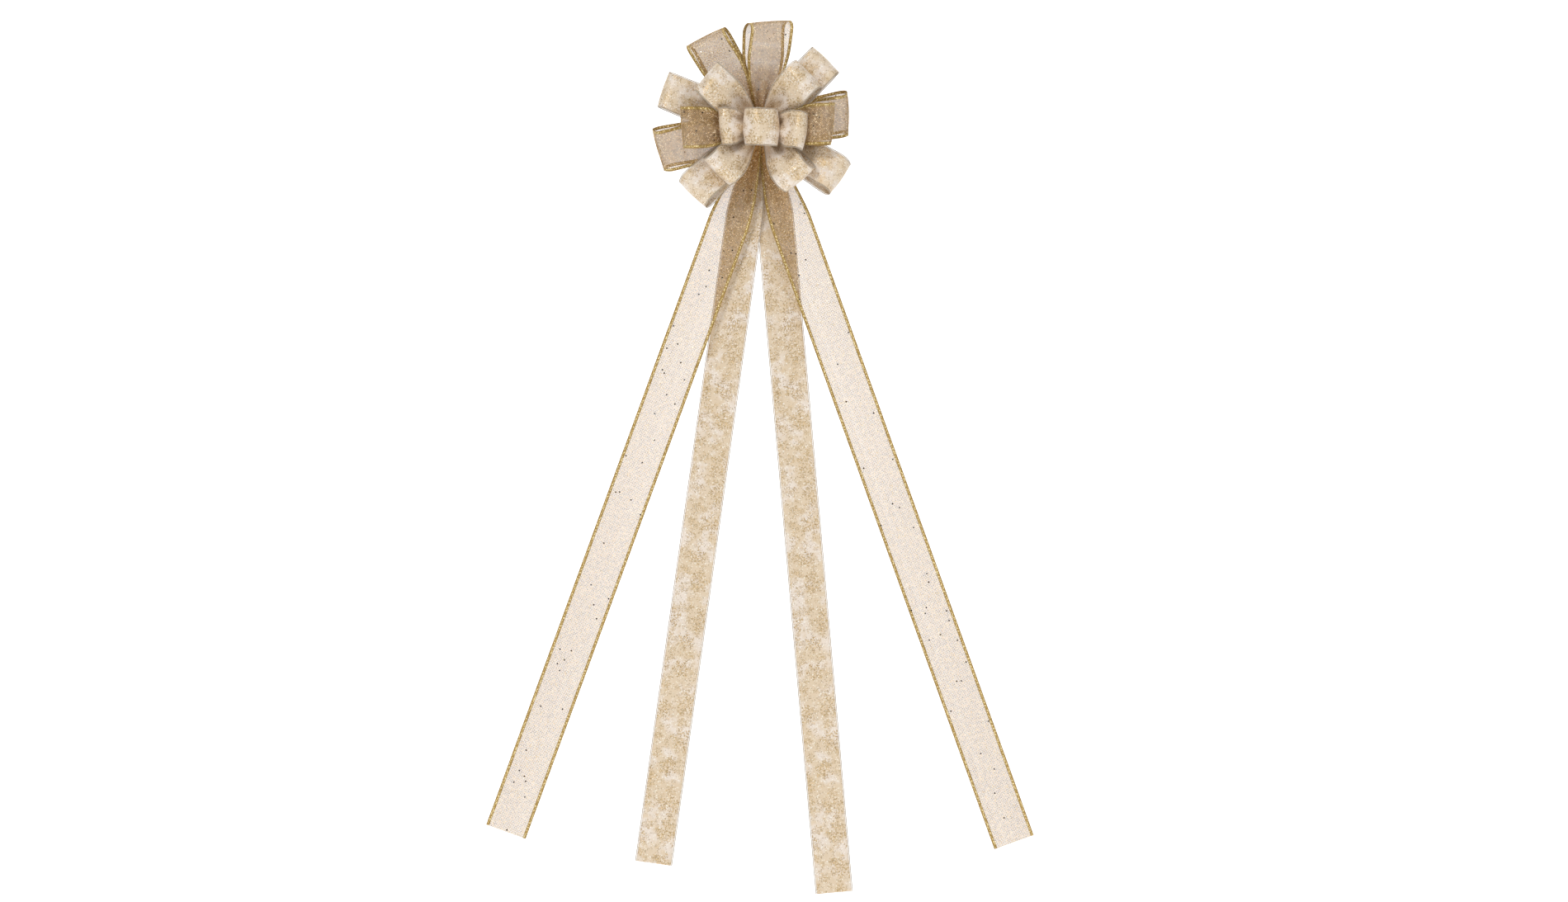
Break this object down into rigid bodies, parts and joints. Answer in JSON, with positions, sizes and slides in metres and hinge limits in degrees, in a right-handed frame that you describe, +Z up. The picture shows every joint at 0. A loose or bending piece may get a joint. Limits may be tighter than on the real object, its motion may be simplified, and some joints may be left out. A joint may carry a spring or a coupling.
{
  "type": "pre-made gift bow",
  "caption": "Hanging gift bow of sheer metallic mesh and snowflake ribbon: looped head, centre ring, tie wire with free legs, and long tails that spread and close.",
  "frame": {"origin": "the tie, at the middle of the gathered waist", "axes": "+Z up along the hanging bow, -Y the way the bow faces, +X to the right as it is looked at"},
  "size_m": [0.7534, 0.1024, 1.1954],
  "materials": {
    "mesh_web": "sheer metallic net",
    "gold_edge": "metallic thread over wire",
    "snowflake_web": "satin with glitter print",
    "cream_edge": "thread over wire",
    "gathered_ribbon": "gathered satin",
    "tie_wire": "gilt wire"
  },
  "bodies": {
    "root": {"gathered_waist": "gathered_ribbon", "tie_wire": "tie_wire", "mesh_top_left_loop_web": "mesh_web", "mesh_top_left_loop_edges": "gold_edge", "mesh_top_loop_web": "mesh_web", "mesh_top_loop_edges": "gold_edge", "mesh_left_outer_loop_web": "mesh_web", "mesh_left_outer_loop_edges": "gold_edge", "mesh_right_outer_loop_web": "mesh_web", "mesh_right_outer_loop_edges": "gold_edge", "mesh_left_front_loop_web": "mesh_web", "mesh_left_front_loop_edges": "gold_edge", "mesh_right_front_loop_web": "mesh_web", "mesh_right_front_loop_edges": "gold_edge", "snow_far_left_loop_web": "snowflake_web", "snow_far_left_loop_edges": "cream_edge", "snow_upper_right_loop_web": "snowflake_web", "snow_upper_right_loop_edges": "cream_edge", "snow_lower_left_loop_web": "snowflake_web", "snow_lower_left_loop_edges": "cream_edge", "snow_lower_right_loop_web": "snowflake_web", "snow_lower_right_loop_edges": "cream_edge", "snow_middle_upper_left_loop_web": "snowflake_web", "snow_middle_upper_left_loop_edges": "cream_edge", "snow_middle_upper_right_loop_web": "snowflake_web", "snow_middle_upper_right_loop_edges": "cream_edge", "snow_middle_lower_left_loop_web": "snowflake_web", "snow_middle_lower_left_loop_edges": "cream_edge", "snow_middle_lower_right_loop_web": "snowflake_web", "snow_middle_lower_right_loop_edges": "cream_edge", "snow_inner_left_loop_web": "snowflake_web", "snow_inner_left_loop_edges": "cream_edge", "snow_inner_right_loop_web": "snowflake_web", "snow_inner_right_loop_edges": "cream_edge", "snow_centre_ring_loop_web": "snowflake_web", "snow_centre_ring_loop_edges": "cream_edge"},
    "mesh_tail_left": {"mesh_tail_left_web": "mesh_web", "mesh_tail_left_edges": "gold_edge"},
    "mesh_tail_right": {"mesh_tail_right_web": "mesh_web", "mesh_tail_right_edges": "gold_edge"},
    "snow_tail_left": {"snow_tail_left_web": "snowflake_web", "snow_tail_left_edges": "cream_edge"},
    "snow_tail_right": {"snow_tail_right_web": "snowflake_web", "snow_tail_right_edges": "cream_edge"},
    "tie_leg_left": {"tie_leg_left": "tie_wire"},
    "tie_leg_right": {"tie_leg_right": "tie_wire"}
  },
  "joints": [
    {"name": "mesh_tail_left_swing", "type": "hinge", "parent": "root", "child": "mesh_tail_left", "pos_m": [0, 0.02, 0], "axis": [0, 1, 0], "range_deg": [-25, 22]},
    {"name": "mesh_tail_right_swing", "type": "hinge", "parent": "root", "child": "mesh_tail_right", "pos_m": [0, 0.0223, 0], "axis": [0, 1, 0], "range_deg": [-30, 25]},
    {"name": "snow_tail_left_swing", "type": "hinge", "parent": "root", "child": "snow_tail_left", "pos_m": [0, 0.0246, 0], "axis": [0, 1, 0], "range_deg": [-15, 50]},
    {"name": "snow_tail_right_swing", "type": "hinge", "parent": "root", "child": "snow_tail_right", "pos_m": [0, 0.0269, 0], "axis": [0, 1, 0], "range_deg": [-50, 15]},
    {"name": "tie_leg_left_bend", "type": "hinge", "parent": "root", "child": "tie_leg_left", "pos_m": [-0.00182, 0.0302, 0.00232], "axis": [-0.788, 0, -0.6157], "range_deg": [0, 90]},
    {"name": "tie_leg_right_bend", "type": "hinge", "parent": "root", "child": "tie_leg_right", "pos_m": [0.00182, 0.0302, 0.00232], "axis": [-0.788, 0, 0.6157], "range_deg": [0, 90]}
  ]
}
